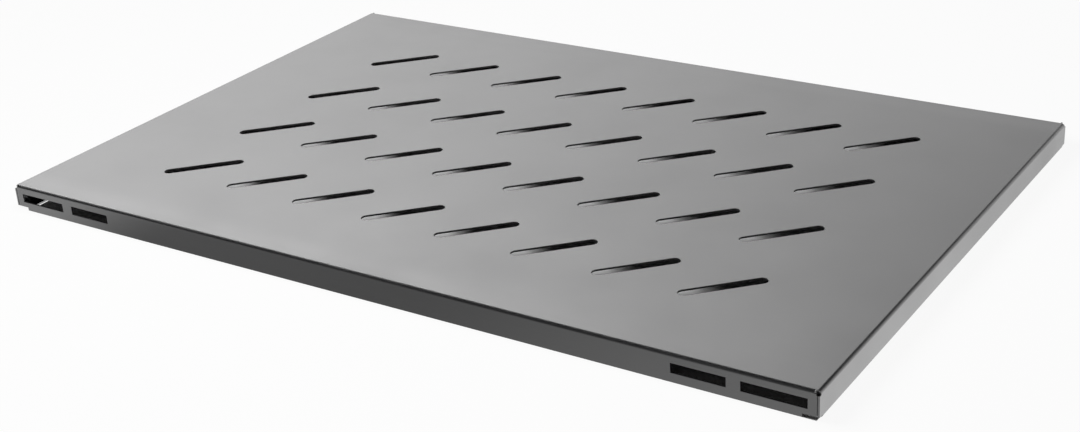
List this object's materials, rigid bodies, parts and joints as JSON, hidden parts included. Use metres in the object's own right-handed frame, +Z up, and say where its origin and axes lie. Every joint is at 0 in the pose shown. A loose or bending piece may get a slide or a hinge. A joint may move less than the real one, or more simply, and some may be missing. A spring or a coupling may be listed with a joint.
{
  "type": "rack shelf",
  "caption": "Folded sheet-steel shelf tray for a server rack, with slanted vent slots in its flat top and square-cornered fixing slots near the ends of both long flanges.",
  "frame": {"origin": "middle of the underside, at the middle of the bounding box's bottom", "axes": "+X along the long flanges, +Y across the tray from the near long flange to the far one, +Z up through the flat top"},
  "size_m": [0.7, 0.467, 0.0205],
  "materials": {
    "coated_steel": "smooth satin powder coat, dark grey, over 1.5 mm steel sheet"
  },
  "bodies": {
    "root": {"shelf_tray": "coated_steel"}
  },
  "joints": []
}
